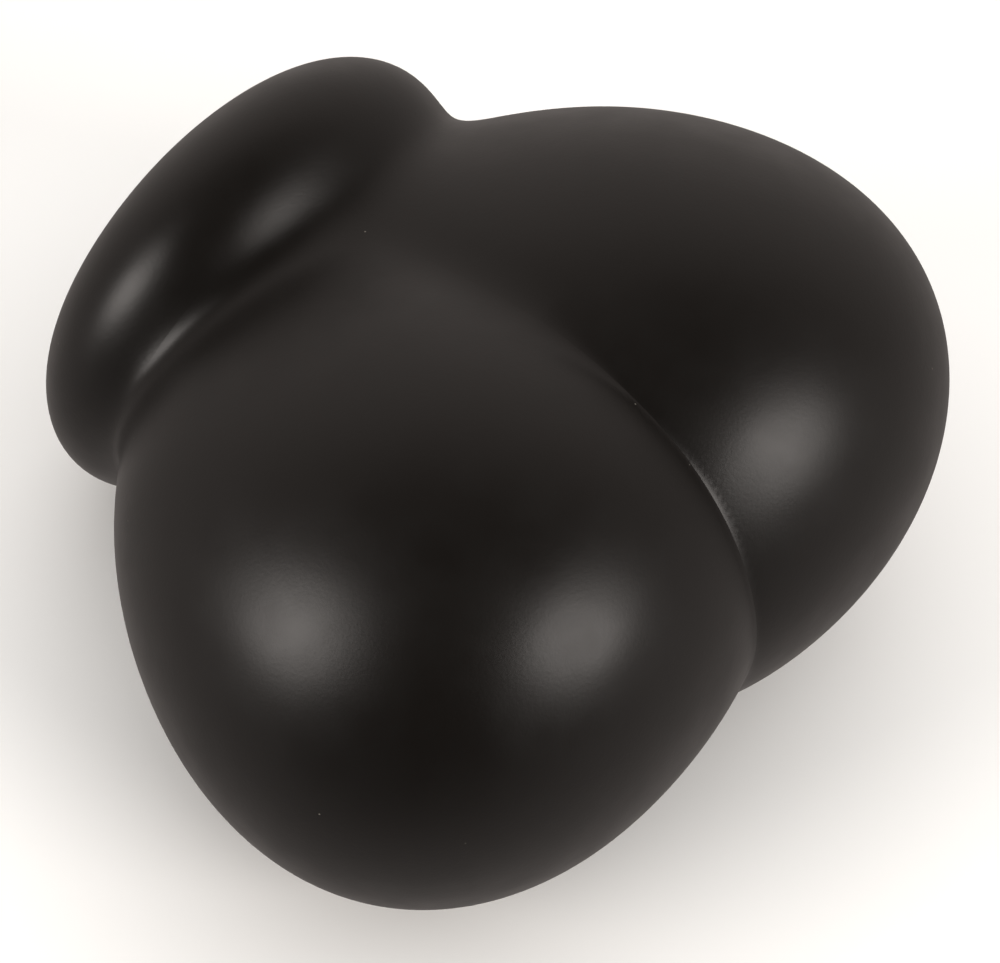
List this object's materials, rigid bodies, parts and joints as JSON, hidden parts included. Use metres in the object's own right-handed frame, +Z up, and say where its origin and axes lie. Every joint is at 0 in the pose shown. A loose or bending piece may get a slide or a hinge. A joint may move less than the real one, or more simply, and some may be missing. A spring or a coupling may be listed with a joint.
{
  "type": "two-lobed silicone sleeve",
  "caption": "Hollow soft sleeve with two egg-shaped lobes side by side, opening through a thick rolled stretch ring.",
  "frame": {"origin": "centre of the bounding box's bottom face, with the part lying on its back on the ring and both lobes", "axes": "+X from the left lobe to the right lobe, -Y towards the mouth, +Z up"},
  "size_m": [0.0718, 0.062, 0.0454],
  "materials": {
    "silicone": "satin, soft-touch moulded skin"
  },
  "bodies": {
    "root": {"mouth_ring": "silicone", "neck_collar": "silicone", "left_lobe_wall": "silicone", "right_lobe_wall": "silicone"}
  },
  "joints": []
}
